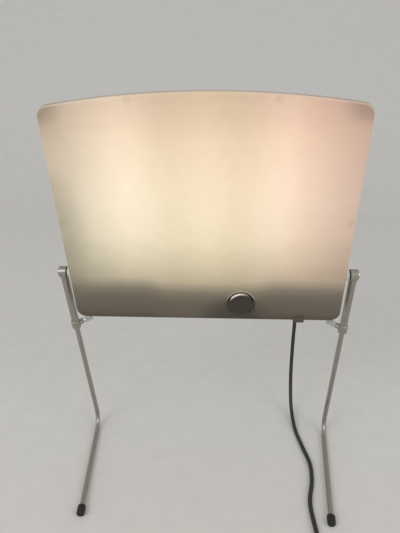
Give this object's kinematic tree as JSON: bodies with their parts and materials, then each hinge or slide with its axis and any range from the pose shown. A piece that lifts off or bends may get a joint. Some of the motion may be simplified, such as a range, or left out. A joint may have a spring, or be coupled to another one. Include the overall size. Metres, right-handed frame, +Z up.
{
  "type": "light therapy lamp",
  "caption": "Tall lit light-therapy screen with an arched top, held up by two bent telescoping legs, with a rotary knob, vents at the back and a coiled mains cord.",
  "frame": {"origin": "middle of the lamp's base on the table, without the free cord, its coil and plug", "axes": "+Z up, -Y the way the lit screen faces, +X to the viewer's right"},
  "size_m": [0.4512, 0.4633, 0.626],
  "materials": {
    "opal_screen": "satin",
    "housing": "fine matte",
    "white_sheet": "satin",
    "galvanised_sheet": "satin",
    "plain_steel": "satin",
    "lamp_glass": "frosted",
    "white_plastic": "matte",
    "dark_plastic": "matte",
    "knob_plastic": "satin",
    "clear_plastic": "polished",
    "black_rubber": "matte",
    "brass": "polished",
    "chrome": "polished",
    "satin_metal": "satin",
    "cord_plastic": "matte"
  },
  "bodies": {
    "head": {"front_screen": "opal_screen", "rear_shell": "housing", "reflector": "white_sheet", "shelf": "white_sheet", "chassis": "galvanised_sheet", "left_ballast": "galvanised_sheet", "right_ballast": "galvanised_sheet", "switch_bracket": "galvanised_sheet", "chassis_screw_1": "plain_steel", "chassis_screw_2": "plain_steel", "reflector_screw_1": "plain_steel", "reflector_screw_2": "plain_steel", "reflector_screw_3": "plain_steel", "reflector_screw_4": "plain_steel", "left_tube_clip": "plain_steel", "middle_tube_clip": "plain_steel", "right_tube_clip": "plain_steel", "switch_nut": "plain_steel", "left_lamp_tube": "lamp_glass", "middle_lamp_tube": "lamp_glass", "right_lamp_tube": "lamp_glass", "left_lamp_base": "white_plastic", "middle_lamp_base": "white_plastic", "right_lamp_base": "white_plastic", "left_lamp_holder": "white_plastic", "middle_lamp_holder": "white_plastic", "right_lamp_holder": "white_plastic", "terminal_block": "white_plastic", "left_lamp_wire": "white_plastic", "middle_lamp_wire": "white_plastic", "right_lamp_wire": "white_plastic", "rotary_switch": "dark_plastic", "inlet_wire": "dark_plastic", "switch_wire": "dark_plastic", "left_ballast_wire": "dark_plastic", "right_ballast_wire": "dark_plastic", "screen_clip": "clear_plastic", "strain_relief": "black_rubber", "left_friction_washer": "black_rubber", "right_friction_washer": "black_rubber", "left_pivot_insert": "brass", "right_pivot_insert": "brass", "left_plug_blade": "brass", "right_plug_blade": "brass", "ground_pin": "brass", "left_pivot_screw": "chrome", "right_pivot_screw": "chrome", "power_cord": "cord_plastic", "cord_coil": "cord_plastic", "plug_body": "cord_plastic"},
    "knob": {"knob": "knob_plastic", "switch_shaft": "plain_steel"},
    "left_sleeve": {"left_sleeve": "satin_metal"},
    "left_rod": {"left_rod": "satin_metal", "left_foot_tip": "black_rubber"},
    "left_lock": {"left_lock_screw": "chrome"},
    "right_sleeve": {"right_sleeve": "satin_metal"},
    "right_rod": {"right_rod": "satin_metal", "right_foot_tip": "black_rubber"},
    "right_lock": {"right_lock_screw": "chrome"}
  },
  "joints": [
    {"name": "left_leg_tilt", "type": "hinge", "parent": "head", "child": "left_sleeve", "pos_m": [-0.217, 0.03282, 0.36194], "axis": [-1, 0, 0], "range_deg": [-15, 150]},
    {"name": "left_leg_height", "type": "slide", "parent": "left_sleeve", "child": "left_rod", "axis": [0, 0.2045, -0.9789], "range_m": [0, 0.075]},
    {"name": "left_lock_turn", "type": "hinge", "parent": "left_sleeve", "child": "left_lock", "pos_m": [-0.217, 0.05491, 0.25622], "axis": [0.788, 0.6027, 0.1259], "range_deg": [0, 180]},
    {"name": "right_leg_tilt", "type": "hinge", "parent": "head", "child": "right_sleeve", "pos_m": [0.217, 0.03282, 0.36194], "axis": [-1, 0, 0], "range_deg": [-15, 150]},
    {"name": "right_leg_height", "type": "slide", "parent": "right_sleeve", "child": "right_rod", "axis": [0, 0.2045, -0.9789], "range_m": [0, 0.075]},
    {"name": "right_lock_turn", "type": "hinge", "parent": "right_sleeve", "child": "right_lock", "pos_m": [0.217, 0.05491, 0.25622], "axis": [-0.788, 0.6027, 0.1259], "range_deg": [0, 180]},
    {"name": "knob_turn", "type": "hinge", "parent": "head", "child": "knob", "pos_m": [0.0525, 0.02325, 0.31689], "axis": [0, -0.9877, -0.1564], "range_deg": [0, 90]}
  ]
}
